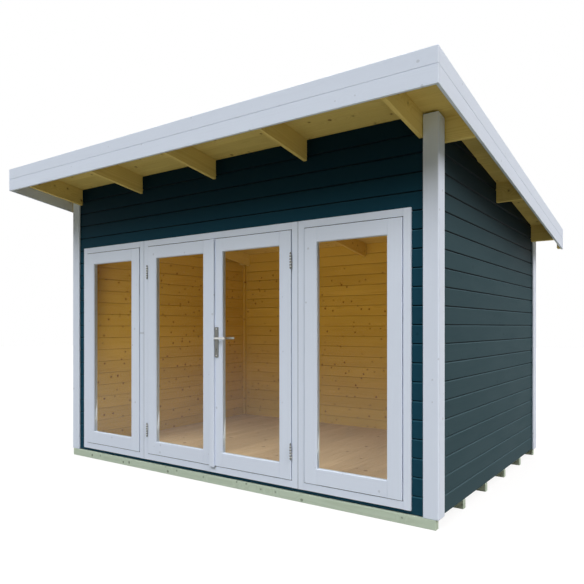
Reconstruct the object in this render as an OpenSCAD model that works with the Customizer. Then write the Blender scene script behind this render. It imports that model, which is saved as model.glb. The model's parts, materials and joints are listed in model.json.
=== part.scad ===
// Garden house with a pent roof, glazed double door and two fixed windows.
// Every piece is drawn with x from the centre line, y from the outer face of the
// front wall towards the back, and z from the ground. seat() then moves it so that
// the origin lies under the middle of the whole house.

/* [Walls] */
// Width of the house over the outer faces of its side walls
wall_w = 3600; // [3400:1:4400]
// Depth of the house over the outer faces of its front and back walls
wall_d = 2520; // [2000:1:3200]
// Thickness of the wall boards
wall_t = 28; // [19:1:44]
// Visible height of one wall board
board_h = 117; // [110:1:145]
// Number of boards in the front wall
front_boards = 21; // [20:1:24]
// Thickness of the corner cover boards
cover_t = 16; // [12:1:22]
// Width of a corner cover on the front or back of the house
cover_w = 100; // [70:1:100]
// Width of a corner cover on the side of the house
cover_side_w = 106; // [70:1:106]
// Gap between the top of a corner cover and the roof boards
cover_top_gap = 14; // [5:1:30]
// Side of the square strips in the inner corners
corner_strip = 30; // [20:1:45]

/* [Base] */
// Width of a base beam
beam_w = 45; // [35:1:70]
// Height of a base beam
beam_h = 60; // [40:1:90]
// Number of base beams
beam_count = 6; // [4:1:8]
// How far the first beam stands in front of the wall
beam_lead = 18; // [0:1:25]
// How far the last beam stays inside the back wall's outer face
beam_back_inset = 11; // [0:1:20]
// Thickness of the floor boards
floor_t = 19; // [16:1:28]

/* [Roof] */
// Fall of the roof towards the back, in degrees
roof_pitch = 8.2; // [4:0.1:10]
// Overhang in front of the front wall
front_overhang = 534; // [300:1:700]
// Overhang outside each side wall
side_overhang = 211.5; // [150:0.5:320]
// Overhang behind the back wall
rear_overhang = 248; // [150:1:350]
// Thickness of rafters and lookouts
rafter_t = 28; // [28:1:60]
// Height of rafters and lookouts, measured plumb
rafter_h = 148; // [110:1:170]
// Gap between an outer rafter and the corner cover beside it
rafter_gap = 2; // [1:0.5:20]
// Gap between a front corner cover and the first lookout
front_lookout_gap = 10; // [2:1:40]
// Gap between a back corner cover and the last lookout
back_lookout_gap = 2; // [1:1:40]
// Thickness of the roof boards
roof_board_t = 19; // [16:1:28]
// Thickness of the roof felt
felt_t = 4; // [2:0.5:8]
// Thickness of the fascia boards
fascia_t = 18; // [16:1:28]
// Height of the upper fascia board
fascia_upper_h = 93; // [80:1:110]
// Height of the lower fascia board
fascia_lower_h = 101; // [80:1:110]
// Height of the fascia above the underside of the roof boards
fascia_rise = 48; // [36:1:70]
// Open seam between the two fascia boards
fascia_seam = 0.8; // [0.4:0.1:2]
// Height of the board along the rear eave
rear_board_h = 70; // [50:1:100]
// Width of the batten behind each rear end of a side fascia
end_batten_w = 26; // [20:1:45]
// Depth of that batten
end_batten_d = 45; // [30:1:60]

/* [Doors and windows] */
// Width of the double door's frame
door_w = 1597; // [1400:1:1700]
// Width of each window's frame
window_w = 840.5; // [700:0.5:860]
// Height of the door and window frames
frame_h = 1864; // [1700:1:1950]
// Height of the wall left below the frames
sill_h = 29; // [20:1:80]
// Width of the frame's face
frame_face = 50; // [40:1:70]
// How far the frames stand in front of and behind the wall
frame_proud = 18; // [10:1:30]
// Depth of the groove in which the frames hold the wall boards
wall_groove = 12; // [8:1:20]
// Open joint between neighbouring frames
frame_joint = 3; // [1:0.5:6]
// Width of the stop that a leaf or sash closes on
stop_w = 12; // [8:1:18]
// Thickness of the door leaves and window sashes
leaf_t = 40; // [36:1:50]
// Gap around each leaf and sash
leaf_gap = 5; // [5:0.5:8]
// How far leaves and sashes stand in front of their frame
leaf_proud = 5; // [5:0.5:12]
// Width of stiles and top rails
stile_w = 100; // [80:1:120]
// Height of bottom rails
bottom_rail_h = 107; // [80:1:160]
// Thickness of the glass
glass_t = 4; // [3:1:6]
// Depth of the groove that holds the glass
glass_groove = 10; // [6:1:15]
// Distance from the outer face of a leaf to its glass
glass_set = 9; // [6:1:20]
// Width of the strip over the meeting edges of the door leaves
strip_w = 50; // [40:1:60]
// Thickness of that strip
strip_t = 15; // [10:1:20]
// Distance from the middle of the doorway to the strip's edge at the left leaf
strip_left = 23; // [15:1:30]
// Open gap between the two door leaves
meeting_gap = 7; // [6:0.5:10]
// How far the strip hangs below the leaves
strip_drop = 12; // [0:1:20]

/* [Hinges and handle] */
// Radius of a hinge knuckle
knuckle_r = 7; // [6:0.5:9]
// Height of one hinge without its finials
hinge_h = 100; // [60:1:140]
// Radius of the hinge pin
pin_r = 4; // [3:0.5:5]
// Running clearance around the hinge pin
pin_clearance = 0.05; // [0.02:0.01:0.1]
// Space between the knuckles and the face of the leaf
knuckle_stand = 1; // [0.8:0.1:3]
// Distance from the top of a leaf to the middle of its upper hinge
upper_hinge_drop = 215; // [120:1:300]
// Distance from the bottom of a leaf to the middle of its lower hinge
lower_hinge_rise = 200; // [120:1:300]
// Width of a handle plate
plate_w = 32; // [28:1:40]
// Height of a handle plate
plate_h = 232; // [200:1:260]
// Thickness of a handle plate
plate_t = 8; // [4:1:10]
// Space between the handle plate and the meeting strip
plate_gap = 4; // [1:0.5:5]
// Height of the handle's axis above the bottom of the leaf
handle_rise = 987; // [800:1:1100]
// Distance from the top of a handle plate to the handle's axis
handle_drop = 85; // [50:1:120]
// Radius of the lever and its neck
lever_r = 9; // [7:0.5:11]
// Length of the lever from its axis to its end
lever_len = 110; // [90:1:130]
// Distance from a handle plate to the middle of the lever
lever_stand = 26; // [22:1:35]
// Radius of the spindle between the two levers
spindle_r = 4.5; // [4:0.5:6]
// Clearance around the lever's neck and around the spindle's hole
neck_clearance = 0.3; // [0.2:0.05:0.6]

/* [Hidden] */
$fn = 48;
white = [0.86, 0.88, 0.90];
blue = [0.16, 0.27, 0.33];
pine = [0.78, 0.66, 0.42];
floor_pine = [0.80, 0.72, 0.58];
green_pine = [0.66, 0.72, 0.60];
steel = [0.72, 0.72, 0.70];
clear = [0.75, 0.85, 0.90, 0.35];
felt = [0.16, 0.16, 0.17];

// Gap between faces that slope with the roof and lie on each other
slope_gap = 0.05;
// How far a cutting shape runs past the faces that it cuts
cut = 1;

wall_x = wall_w/2;
wall_z = beam_h;
front_h = front_boards*board_h;
soffit_z = wall_z + front_h;
roof_x = wall_x + side_overhang;
roof_y0 = -front_overhang;
roof_y1 = wall_d + rear_overhang;
fascia_h = fascia_upper_h + fascia_lower_h;
roof_board_z = roof_board_t/cos(roof_pitch);
felt_z = felt_t/cos(roof_pitch);
floor_z = wall_z + floor_t;

beam_pitch = (wall_d - beam_back_inset + beam_lead - beam_w)/(beam_count - 1);
rafter_count = 5;
rafter_x = wall_x + cover_t - cover_w - rafter_gap - rafter_t/2;
rafter_pitch = 2*rafter_x/(rafter_count - 1);
first_lookout_y = cover_side_w - cover_t + front_lookout_gap;
last_lookout_y = wall_d + cover_t - cover_side_w - back_lookout_gap - rafter_t;
lookout_y = [first_lookout_y, (first_lookout_y + last_lookout_y)/2, last_lookout_y];

frame_y0 = -frame_proud;
frame_y1 = wall_t + frame_proud;
frame_z0 = wall_z + sill_h;
frame_z1 = frame_z0 + frame_h;
glazed_x = door_w/2 + window_w;
leaf_y0 = frame_y0 - leaf_proud;
leaf_y1 = leaf_y0 + leaf_t;
leaf_x = door_w/2 - frame_face - leaf_gap;
leaf_z0 = frame_z0 + frame_face + leaf_gap;
leaf_z1 = frame_z1 - frame_face - leaf_gap;
glass_y = leaf_y0 + glass_set;
window_x0 = door_w/2 + frame_joint;
window_x1 = glazed_x;
sash_x0 = window_x0 + frame_face + leaf_gap;
sash_x1 = window_x1 - frame_face - leaf_gap;

hinge_x = leaf_x + leaf_gap/2;
hinge_y = leaf_y0 - knuckle_r - knuckle_stand;
hinge_z = [leaf_z0 + lower_hinge_rise, leaf_z1 - upper_hinge_drop];
// Gap between the two halves of a hinge
knuckle_gap = 1;
finial_h = 10;
finial_r = knuckle_r - 2;
// How far finials and pins run into the knuckle that carries them
knuckle_lap = 1;
lug_w = 8;
lug_x = 3;
pin_h = hinge_h/2 - 8;
pin_end_gap = 2;

strip_x0 = -strip_left;
strip_x1 = strip_x0 + strip_w;
left_leaf_x1 = strip_x0 - meeting_gap;
left_free_stile = stile_w + left_leaf_x1;
right_free_stile = stile_w - strip_x0;
plate_x = strip_x1 + plate_gap + plate_w/2;
handle_z = leaf_z0 + handle_rise;
neck_hole_r = lever_r + neck_clearance;

// Height of the underside of the roof boards at a distance behind the front wall's face
function soffit(y) = soffit_z - y*tan(roof_pitch);

// Moves a piece so that the origin is under the middle of the house
module seat() {
    translate([0, -(roof_y0 + roof_y1)/2, 0]) children();
}

// A box given by two opposite corners
module block(low, high) {
    translate(low) cube(high - low);
}

// A piece whose top and bottom run parallel to the roof, lo and hi above its soffit
module sloped(x0, x1, y0, y1, lo, hi) {
    translate([x0, 0, 0]) rotate([90, 0, 90]) linear_extrude(x1 - x0)
        polygon([[y0, soffit(y0) + lo], [y1, soffit(y1) + lo],
                 [y1, soffit(y1) + hi], [y0, soffit(y0) + hi]]);
}

// A piece that stands level at z0 and is cut off under the roof, hi above its soffit
module standing(x0, x1, y0, y1, z0, hi = -slope_gap) {
    translate([x0, 0, 0]) rotate([90, 0, 90]) linear_extrude(x1 - x0)
        polygon([[y0, z0], [y1, z0], [y1, soffit(y1) + hi], [y0, soffit(y0) + hi]]);
}

// A rectangular ring in an upright plane, from y0 back to y1
module ring(x0, x1, z0, z1, y0, y1, side, top, bottom) {
    difference() {
        block([x0, y0, z0], [x1, y1, z1]);
        block([x0 + side, y0 - cut, z0 + bottom], [x1 - side, y1 + cut, z1 - top]);
    }
}

// ---- base ----

module floor_beams() {
    color(green_pine) seat() for (i = [0:beam_count - 1])
        translate([-wall_x, -beam_lead + i*beam_pitch, 0]) cube([wall_w, beam_w, beam_h]);
}

module floor_deck() {
    color(floor_pine) seat()
        block([-wall_x + wall_t, wall_t, wall_z], [wall_x - wall_t, wall_d - wall_t, floor_z]);
}

// ---- walls ----

// The space that each rafter takes from the walls it crosses
module rafter_notches() {
    for (i = [0:rafter_count - 1]) rafter_solid(i, roof_y1, slope_gap, cut);
}

// The part of the front wall at one side of the door and windows: side is -1 or 1
module front_pier(side) {
    x0 = glazed_x - wall_groove;
    color(blue) seat() difference() {
        if (side > 0) standing(x0, wall_x, 0, wall_t, wall_z);
        else standing(-wall_x, -x0, 0, wall_t, wall_z);
        rafter_notches();
    }
}

module front_wall_header() {
    x0 = glazed_x - wall_groove;
    color(blue) seat() difference() {
        standing(-x0, x0, 0, wall_t, frame_z1 - wall_groove);
        rafter_notches();
    }
}

module front_wall_sill() {
    x0 = glazed_x - wall_groove;
    color(blue) seat() block([-x0, 0, wall_z], [x0, wall_t, frame_z0 + wall_groove]);
}

module side_wall(side) {
    color(blue) seat() difference() {
        if (side > 0) standing(wall_x - wall_t, wall_x, wall_t, wall_d - wall_t, wall_z);
        else standing(-wall_x, -wall_x + wall_t, wall_t, wall_d - wall_t, wall_z);
        lookout_solids(slope_gap, cut);
    }
}

module back_wall() {
    color(blue) seat() difference() {
        standing(-wall_x, wall_x, wall_d - wall_t, wall_d, wall_z);
        rafter_notches();
    }
}

// An L of two boards around one corner: side is -1 or 1 across, back is 0 or 1
module corner_cover(side, back) {
    y_out = back ? wall_d : -cover_t;
    y_leg = back ? wall_d + cover_t - cover_side_w : -cover_t;
    x1 = wall_x + cover_t;
    color(white) seat() mirror([side < 0 ? 1 : 0, 0, 0]) union() {
        standing(x1 - cover_w, x1, y_out, y_out + cover_t, wall_z, -cover_top_gap);
        standing(wall_x, x1, y_leg, y_leg + cover_side_w, wall_z, -cover_top_gap);
    }
}

module inner_corner_strips() {
    x1 = wall_x - wall_t;
    color(pine) seat() for (side = [0, 1], y = [wall_t, wall_d - wall_t - corner_strip])
        mirror([side, 0, 0])
            standing(x1 - corner_strip, x1, y, y + corner_strip, floor_z, -cover_top_gap);
}

// ---- frames, sashes and leaves ----

// A frame with its groove for the wall boards; outer is the side that meets the wall
module opening_frame(x0, x1, stop_y, outer) {
    groove_x0 = outer < 0 ? x0 + wall_groove : x0 - cut;
    groove_x1 = outer > 0 ? x1 - wall_groove : x1 + cut;
    difference() {
        union() {
            ring(x0, x1, frame_z0, frame_z1, frame_y0, frame_y1,
                frame_face, frame_face, frame_face);
            ring(x0 + frame_face/2, x1 - frame_face/2, frame_z0 + frame_face/2,
                frame_z1 - frame_face/2, stop_y, frame_y1, frame_face/2 + stop_w,
                frame_face/2 + stop_w, frame_face/2 + stop_w);
        }
        difference() {
            block([x0 - cut, 0, frame_z0 - cut], [x1 + cut, wall_t, frame_z1 + cut]);
            block([groove_x0, -cut, frame_z0 + wall_groove],
                [groove_x1, wall_t + cut, frame_z1 - wall_groove]);
        }
    }
}

// A glazed ring of stiles and rails, with a groove for its glass
module glazed_leaf(x0, x1, left_stile, right_stile) {
    difference() {
        block([x0, leaf_y0, leaf_z0], [x1, leaf_y1, leaf_z1]);
        block([x0 + left_stile, leaf_y0 - cut, leaf_z0 + bottom_rail_h],
            [x1 - right_stile, leaf_y1 + cut, leaf_z1 - stile_w]);
        glass_pane(x0, x1, left_stile, right_stile);
    }
}

module glass_pane(x0, x1, left_stile, right_stile) {
    block([x0 + left_stile - glass_groove, glass_y, leaf_z0 + bottom_rail_h - glass_groove],
        [x1 - right_stile + glass_groove, glass_y + glass_t, leaf_z1 - stile_w + glass_groove]);
}

module right_window_frame() {
    color(white) seat() opening_frame(window_x0, window_x1, leaf_y1, 1);
}

module right_window_sash() {
    color(white) seat() glazed_leaf(sash_x0, sash_x1, stile_w, stile_w);
}

module right_window_glass() {
    color(clear) seat() glass_pane(sash_x0, sash_x1, stile_w, stile_w);
}

module left_window_frame() {
    mirror([1, 0, 0]) right_window_frame();
}

module left_window_sash() {
    mirror([1, 0, 0]) right_window_sash();
}

module left_window_glass() {
    mirror([1, 0, 0]) right_window_glass();
}

module door_frame() {
    color(white) seat() opening_frame(-door_w/2, door_w/2, leaf_y1 + leaf_gap, 0);
}

module left_door_leaf() {
    color(white) seat() glazed_leaf(-leaf_x, left_leaf_x1, stile_w, left_free_stile);
}

module left_door_glass() {
    color(clear) seat() glass_pane(-leaf_x, left_leaf_x1, stile_w, left_free_stile);
}

module right_door_leaf() {
    color(white) seat() difference() {
        glazed_leaf(strip_x0, leaf_x, right_free_stile, stile_w);
        translate([plate_x, leaf_y0 - cut, handle_z]) rotate([-90, 0, 0])
            cylinder(r = neck_hole_r, h = leaf_t + 2*cut);
    }
}

module right_door_glass() {
    color(clear) seat() glass_pane(strip_x0, leaf_x, right_free_stile, stile_w);
}

module meeting_strip() {
    color(white) seat()
        block([strip_x0, leaf_y0 - strip_t, leaf_z0 - strip_drop], [strip_x1, leaf_y0, leaf_z1]);
}

// ---- hinges and handle ----

// The half of a hinge that the frame carries, with its pin
module hinge_pin_half() {
    translate([0, 0, -hinge_h/2]) cylinder(r = knuckle_r, h = hinge_h/2 - knuckle_gap/2);
    translate([0, 0, -hinge_h/2 - finial_h]) cylinder(r = finial_r, h = finial_h + knuckle_lap);
    translate([0, 0, -knuckle_lap]) cylinder(r = pin_r, h = pin_h);
    block([-lug_x - lug_w, 0, -hinge_h/2], [-lug_x, frame_y0 - hinge_y, -knuckle_gap/2]);
}

// The half of a hinge that the leaf carries, with its bore
module hinge_knuckle_half() {
    difference() {
        union() {
            translate([0, 0, knuckle_gap/2]) cylinder(r = knuckle_r, h = (hinge_h - knuckle_gap)/2);
            translate([0, 0, hinge_h/2 - knuckle_lap])
                cylinder(r = finial_r, h = finial_h + knuckle_lap);
            block([lug_x, 0, knuckle_gap/2], [lug_x + lug_w, leaf_y0 - hinge_y, hinge_h/2]);
        }
        translate([0, 0, -knuckle_lap])
            cylinder(r = pin_r + pin_clearance, h = pin_h + pin_end_gap);
    }
}

module left_hinge_pins() {
    color(steel) seat() for (z = hinge_z) translate([-hinge_x, hinge_y, z]) hinge_pin_half();
}

module left_hinge_knuckles() {
    color(steel) seat() for (z = hinge_z) translate([-hinge_x, hinge_y, z]) hinge_knuckle_half();
}

module right_hinge_pins() {
    mirror([1, 0, 0]) left_hinge_pins();
}

module right_hinge_knuckles() {
    mirror([1, 0, 0]) left_hinge_knuckles();
}

module handle_plates() {
    color(steel) seat() for (y = [leaf_y0 - plate_t, leaf_y1]) difference() {
        block([plate_x - plate_w/2, y, handle_z + handle_drop - plate_h],
            [plate_x + plate_w/2, y + plate_t, handle_z + handle_drop]);
        translate([plate_x, y - cut, handle_z]) rotate([-90, 0, 0])
            cylinder(r = neck_hole_r, h = plate_t + 2*cut);
    }
}

module door_handle() {
    outer_y = leaf_y0 - plate_t - lever_stand;
    inner_y = leaf_y1 + plate_t + lever_stand;
    color(steel) seat() translate([plate_x, 0, handle_z]) union() {
        translate([0, outer_y, 0]) rotate([-90, 0, 0]) cylinder(r = spindle_r, h = inner_y - outer_y);
        translate([0, outer_y, 0]) rotate([-90, 0, 0])
            cylinder(r = lever_r, h = leaf_y0 - outer_y);
        translate([0, leaf_y1, 0]) rotate([-90, 0, 0])
            cylinder(r = lever_r, h = inner_y - leaf_y1);
        for (y = [outer_y, inner_y]) translate([0, y, 0]) {
            sphere(r = lever_r);
            rotate([0, 90, 0]) cylinder(r = lever_r, h = lever_len);
        }
    }
}

// ---- roof ----

// Rafter i from the front fascia back to y1, with room below and above it when it cuts
module rafter_solid(i, y1, below = 0, above = 0) {
    x = -rafter_x + i*rafter_pitch;
    sloped(x - rafter_t/2, x + rafter_t/2, roof_y0 + fascia_t, y1, -rafter_h - below, above);
}

module rafter(i) {
    color(pine) seat() rafter_solid(i, roof_y1 - fascia_t);
}

// The lookouts of both sides, from the outer rafters to the side fascias
module lookout_solids(below = 0, above = 0) {
    for (side = [0, 1], y = lookout_y) mirror([side, 0, 0])
        sloped(rafter_x + rafter_t/2, roof_x - fascia_t, y, y + rafter_t,
            -rafter_h - below, above);
}

module lookouts() {
    color(pine) seat() lookout_solids(0, -slope_gap);
}

module roof_boards() {
    color(pine) seat() sloped(-roof_x + fascia_t, roof_x - fascia_t,
        roof_y0 + fascia_t, roof_y1 - fascia_t, 0, roof_board_z);
}

module roof_felt() {
    color(felt) seat() sloped(-roof_x + fascia_t, roof_x - fascia_t,
        roof_y0 + fascia_t, roof_y1, roof_board_z + slope_gap, roof_board_z + felt_z);
}

module front_fascia() {
    top = soffit(roof_y0 + fascia_t/2) + fascia_rise;
    color(white) seat() {
        block([-roof_x, roof_y0, top - fascia_upper_h + fascia_seam/2],
            [roof_x, roof_y0 + fascia_t, top]);
        block([-roof_x, roof_y0, top - fascia_h],
            [roof_x, roof_y0 + fascia_t, top - fascia_upper_h - fascia_seam/2]);
    }
}

module right_fascia() {
    y0 = roof_y0 + fascia_t;
    seam = fascia_rise - fascia_upper_h;
    color(white) seat() {
        sloped(roof_x - fascia_t, roof_x, y0, roof_y1, seam + fascia_seam/2, fascia_rise);
        sloped(roof_x - fascia_t, roof_x, y0, roof_y1, fascia_rise - fascia_h, seam - fascia_seam/2);
    }
}

module left_fascia() {
    mirror([1, 0, 0]) right_fascia();
}

module rear_eave_board() {
    color(white) seat() sloped(-roof_x + fascia_t, roof_x - fascia_t,
        roof_y1 - fascia_t, roof_y1, roof_board_z - rear_board_h, roof_board_z);
}

module eave_end_battens() {
    x1 = roof_x - fascia_t;
    y1 = roof_y1 - fascia_t;
    color(pine) seat() for (side = [0, 1]) mirror([side, 0, 0])
        sloped(x1 - end_batten_w, x1, y1 - end_batten_d, y1, fascia_rise - fascia_h, -slope_gap);
}

floor_beams();
floor_deck();
front_pier(-1);  // front_wall_left
front_pier(1);  // front_wall_right
front_wall_header();
front_wall_sill();
side_wall(-1);  // left_wall
side_wall(1);  // right_wall
back_wall();
corner_cover(-1, 0);  // front_left_cover
corner_cover(1, 0);  // front_right_cover
corner_cover(-1, 1);  // back_left_cover
corner_cover(1, 1);  // back_right_cover
inner_corner_strips();
left_window_frame();
left_window_sash();
left_window_glass();
right_window_frame();
right_window_sash();
right_window_glass();
door_frame();
left_door_leaf();
left_door_glass();
right_door_leaf();
right_door_glass();
meeting_strip();
left_hinge_pins();
left_hinge_knuckles();
right_hinge_pins();
right_hinge_knuckles();
handle_plates();
door_handle();
rafter(0);  // rafter_1
rafter(1);  // rafter_2
rafter(2);  // rafter_3
rafter(3);  // rafter_4
rafter(4);  // rafter_5
lookouts();
roof_boards();
roof_felt();
front_fascia();
left_fascia();
right_fascia();
rear_eave_board();
eave_end_battens();
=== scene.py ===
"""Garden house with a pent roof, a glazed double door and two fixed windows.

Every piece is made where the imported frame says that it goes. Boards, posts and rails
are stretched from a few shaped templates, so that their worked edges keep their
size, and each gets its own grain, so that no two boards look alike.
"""

import json
import math
import random

import bmesh
import bpy
import numpy as np
from mathutils import Matrix, Vector


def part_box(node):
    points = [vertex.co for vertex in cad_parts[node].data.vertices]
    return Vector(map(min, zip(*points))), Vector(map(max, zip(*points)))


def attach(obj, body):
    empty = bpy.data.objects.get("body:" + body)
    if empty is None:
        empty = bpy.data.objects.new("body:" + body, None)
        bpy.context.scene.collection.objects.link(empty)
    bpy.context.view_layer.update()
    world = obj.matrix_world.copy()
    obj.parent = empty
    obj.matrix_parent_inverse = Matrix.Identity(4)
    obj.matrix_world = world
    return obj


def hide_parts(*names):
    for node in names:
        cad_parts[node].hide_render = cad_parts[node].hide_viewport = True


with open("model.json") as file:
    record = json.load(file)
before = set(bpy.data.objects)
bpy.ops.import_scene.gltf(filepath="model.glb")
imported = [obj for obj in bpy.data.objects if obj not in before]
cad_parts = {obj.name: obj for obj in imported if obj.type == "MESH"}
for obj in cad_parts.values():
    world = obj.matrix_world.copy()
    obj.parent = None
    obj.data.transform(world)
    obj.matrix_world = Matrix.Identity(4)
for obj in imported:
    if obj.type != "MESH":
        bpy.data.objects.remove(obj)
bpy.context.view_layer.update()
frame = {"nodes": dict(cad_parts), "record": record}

chance = random.Random(21)

# ---- sizes, in metres ----

BOARD = 0.117            # height of one wall board
ROOF_FALL = math.tan(math.radians(8.2))
SEAM = 0.0035            # open joint between two wall boards
FRAME_FACE = 0.050
GLASS_GROOVE = 0.010
STOP = 0.012
SHADE_SEAL = 0.0042            # height of a dark shade seal in the gap above or below a leaf, which is painted shade
SHADE_SEAL_SET = 0.0030        # depth of the shade seals behind the faces of the frames
SHADE_SEAL_DEPTH = 0.0080
BEAD = 0.003             # width of a glazing bead
BEAD_DEPTH = 0.006       # how far a glazing bead stands out from the glass
HINGE_HALF = 0.050       # half the height of a hinge without its finials
FINIAL = 0.010
LEG_PLACES = (0.28, 0.80)  # heights of a hinge's legs, as shares of its half
LEG_HALF = 0.004
FLOOR_BOARD = 0.096
ROOF_BOARD = 0.110
BEAM = 0.045
BEAMS = 6
LOOKOUT_DEPTH = 0.148
FASCIA_DEPTH = 0.194
FASCIA_TOP = 0.093       # height of the upper of a fascia's two boards
FASCIA_SEAM = 0.0008
BATTEN = 0.026
COVER = 0.016            # thickness of a corner cover
INNER_POST = 0.030
POST_GAP = 0.014         # between an upright's top and the roof boards
SPARE = 0.05             # what an upright has over its height before it is trimmed
PLATE = 0.008            # thickness of a handle plate
KEY_HEIGHT = 0.062       # of the keyhole above the plate's lower end
SCREW_INSET = 0.014
# side of the board (-1 outside), end (-1 below) and size of its four chamfers
CHAMFERS = ((-1, 1, 0.0035), (-1, -1, 0.0065), (1, 1, 0.0028), (1, -1, 0.0028))
ACROSS, DEEP, UP = 0, 1, 2
TO_FRONT = Matrix.Rotation(math.pi / 2, 4, "X")    # turns a piece from +Z to -Y


def box(node):
    """The lowest and highest corner of a node, as two vectors."""
    low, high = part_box(node)
    return Vector(low), Vector(high)


WALL_LOW, WALL_HIGH = box("back_wall")
FRONT = box("front_wall_sill")[0].y
WALL_T = WALL_HIGH.y - WALL_LOW.y
WALL_X = WALL_HIGH.x
BASE_TOP = box("front_wall_sill")[0].z
ROOF_LOW, ROOF_HIGH = box("roof_boards")
ROOF_BOARD_Z = ROOF_HIGH.z - ROOF_LOW.z - (ROOF_HIGH.y - ROOF_LOW.y) * ROOF_FALL


def soffit(y):
    """Height of the underside of the roof boards."""
    return ROOF_LOW.z + (ROOF_HIGH.y - y) * ROOF_FALL


# ---- working a piece by hand ----

def only(piece):
    """Selects one piece and nothing else."""
    bpy.ops.object.select_all(action="DESELECT")
    piece.select_set(True)
    bpy.context.view_layer.objects.active = piece


def edit(piece, kind, wanted):
    """Opens a piece in edit mode with the faces, edges or points that wanted() picks."""
    only(piece)
    bpy.ops.object.mode_set(mode="EDIT")
    bpy.ops.mesh.select_mode(type=kind)
    bpy.ops.mesh.select_all(action="DESELECT")
    shape = bmesh.from_edit_mesh(piece.data)
    for item in {"VERT": shape.verts, "EDGE": shape.edges, "FACE": shape.faces}[kind]:
        if wanted(item):
            item.select_set(True)
    bmesh.update_edit_mesh(piece.data)


def done():
    bpy.ops.object.mode_set(mode="OBJECT")


def close_up():
    """Turns all faces of the open piece outwards and leaves edit mode."""
    bpy.ops.mesh.select_all(action="SELECT")
    bpy.ops.mesh.normals_make_consistent(inside=False)
    done()


def everything(item):
    return True


def facing(axis, sign):
    """Picks faces that look along an axis."""
    return lambda face: face.normal[axis] * sign > 0.9


def running(axis):
    """Picks edges that run along an axis."""
    def picks(edge):
        line = edge.verts[1].co - edge.verts[0].co
        return abs(line[axis]) > 0.9 * line.length
    return picks


def cuboid(name, low, high):
    bpy.ops.object.select_all(action="DESELECT")
    low, high = Vector(low), Vector(high)
    bpy.ops.mesh.primitive_cube_add(size=1, location=(low + high) / 2, scale=high - low)
    piece = bpy.context.object
    piece.name = name
    bpy.ops.object.transform_apply(location=True, rotation=True, scale=True)
    return piece


def points(piece):
    co = np.empty(len(piece.data.vertices) * 3)
    piece.data.vertices.foreach_get("co", co)
    return co.reshape(-1, 3)


def put_points(piece, co):
    piece.data.vertices.foreach_set("co", co.astype(np.float32).ravel())
    piece.data.update()


def copy_of(piece, name):
    """A copy with its own mesh."""
    twin = bpy.data.objects.new(name, piece.data.copy())
    bpy.context.collection.objects.link(twin)
    return twin


def moved(piece, name, matrix):
    """A copy of a piece, moved, turned or mirrored."""
    twin = copy_of(piece, name)
    twin.data.transform(matrix)
    if matrix.determinant() < 0:
        twin.data.flip_normals()
    return twin


def stretch(template, low, high, name="part"):
    """A copy of a template that fills a box, with its edges and ends kept at their size."""
    twin = copy_of(template, name)
    co = points(twin)
    t_low, t_high = co.min(axis=0), co.max(axis=0)
    middle = (t_low + t_high) / 2
    low, high = np.array(low, float), np.array(high, float)
    growth = ((high - low) - (t_high - t_low)) / 2
    put_points(twin, co - middle + np.sign(co - middle).round() * growth + (low + high) / 2)
    return twin


def drop_to_roof(piece, y0):
    """Lets a level piece fall with the roof, from the height that it has at y0."""
    co = points(piece)
    co[:, UP] -= (co[:, DEEP] - y0) * ROOF_FALL
    put_points(piece, co)


def trim_under_roof(piece, gap=0.0006):
    """Cuts off what stands above the underside of the roof boards."""
    co = points(piece)
    if (co[:, UP] < soffit(co[:, DEEP]) - gap).all():
        return
    edit(piece, "FACE", everything)
    bpy.ops.mesh.bisect(plane_co=(0, FRONT, soffit(FRONT) - gap),
                        plane_no=(0, ROOF_FALL, 1), use_fill=True, clear_outer=True)
    done()


def discard(*pieces):
    for piece in pieces:
        bpy.data.objects.remove(piece)


def boxes_meet(a, b):
    a, b = points(a), points(b)
    return bool((a.min(0) < b.max(0)).all() and (b.min(0) < a.max(0)).all())


def cut_out(piece, cutters):
    """Cuts the shape of each cutter that reaches a piece out of it."""
    for cutter in cutters:
        if boxes_meet(piece, cutter):
            only(piece)
            cut = piece.modifiers.new("cut", "BOOLEAN")
            cut.operation = "DIFFERENCE"
            cut.solver = "EXACT"
            cut.object = cutter
            bpy.ops.object.modifier_apply(modifier=cut.name)


def grain(piece, axis, sloping=False):
    """Gives a board its own timber: place along, across and through it, and a tone."""
    co = points(piece)
    if sloping:
        co[:, UP] += co[:, DEEP] * ROOF_FALL
    size = np.ptp(co, axis=0)
    local = co - (co.max(axis=0) + co.min(axis=0)) / 2
    wide, thin = sorted((i for i in range(3) if i != axis), key=lambda i: -size[i])
    side = chance.choice((-1, 1))
    timber = np.stack([local[:, axis] + chance.uniform(1, 60),
                       local[:, wide] + chance.uniform(-0.04, 0.04),
                       local[:, thin] + side * chance.uniform(0.03, 0.09)], axis=1)
    cells = piece.data.attributes.new("grain", "FLOAT_VECTOR", "POINT")
    cells.data.foreach_set("vector", timber.astype(np.float32).ravel())
    tone = piece.data.attributes.new("tone", "FLOAT", "POINT")
    tone.data.foreach_set("value", np.full(len(co), chance.random(), np.float32))
    return piece


def gather(name, parts, materials, body, replaces=()):
    """Joins parts into one piece of the model and says what it rides on and stands for."""
    only(parts[0])
    for part in parts:
        part.select_set(True)
    if len(parts) > 1:
        bpy.ops.object.join()
    piece = bpy.context.view_layer.objects.active
    piece.name = name
    for index, material in enumerate(materials):
        if index < len(piece.data.materials):
            piece.data.materials[index] = material
        else:
            piece.data.materials.append(material)
    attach(piece, body)
    if replaces:
        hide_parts(*replaces)
    return piece


def second_material(piece, wanted):
    """Gives the faces that wanted() picks the second material that gather() will set."""
    for name in ("outside", "inside"):
        piece.data.materials.append(bpy.data.materials.get(name)
                                    or bpy.data.materials.new(name))
    edit(piece, "FACE", wanted)
    piece.active_material_index = 1
    bpy.ops.object.material_slot_assign()
    done()


def joint_place(name):
    joints = frame["record"]["behaviour"]["joints"]
    return next(joint["pos_m"] for joint in joints if joint["name"] == name)


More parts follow.
